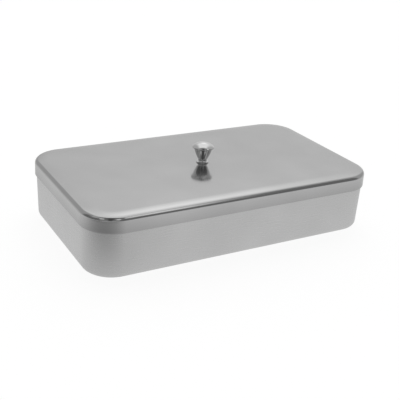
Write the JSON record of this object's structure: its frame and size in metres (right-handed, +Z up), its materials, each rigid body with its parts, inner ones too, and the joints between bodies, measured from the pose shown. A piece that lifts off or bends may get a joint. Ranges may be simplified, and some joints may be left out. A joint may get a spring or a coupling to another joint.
{
  "type": "instrument box",
  "caption": "Shallow stainless steel instrument box with rounded corners and a lift-off lid that fits over the rim and carries a small turned knob.",
  "frame": {"origin": "middle of the tray's underside, on the surface that the box stands on", "axes": "+X along the box's length, +Y across it, +Z up through the knob"},
  "size_m": [0.2118, 0.1228, 0.0567],
  "materials": {
    "tray_steel": "drawn stainless sheet, fine satin",
    "lid_steel": "drawn stainless sheet, soft polish",
    "knob_steel": "turned stainless bar, mirror polish",
    "fastener_steel": "plain stainless fastener"
  },
  "bodies": {
    "tray": {"tray": "tray_steel"},
    "lid": {"lid": "lid_steel", "knob": "knob_steel", "knob_screw": "fastener_steel", "knob_flat_washer": "fastener_steel", "knob_spring_washer": "fastener_steel"}
  },
  "joints": [
    {"name": "lid_lift", "type": "slide", "parent": "tray", "child": "lid", "axis": [0, 0, 1], "range_m": [0, 0.06]}
  ]
}
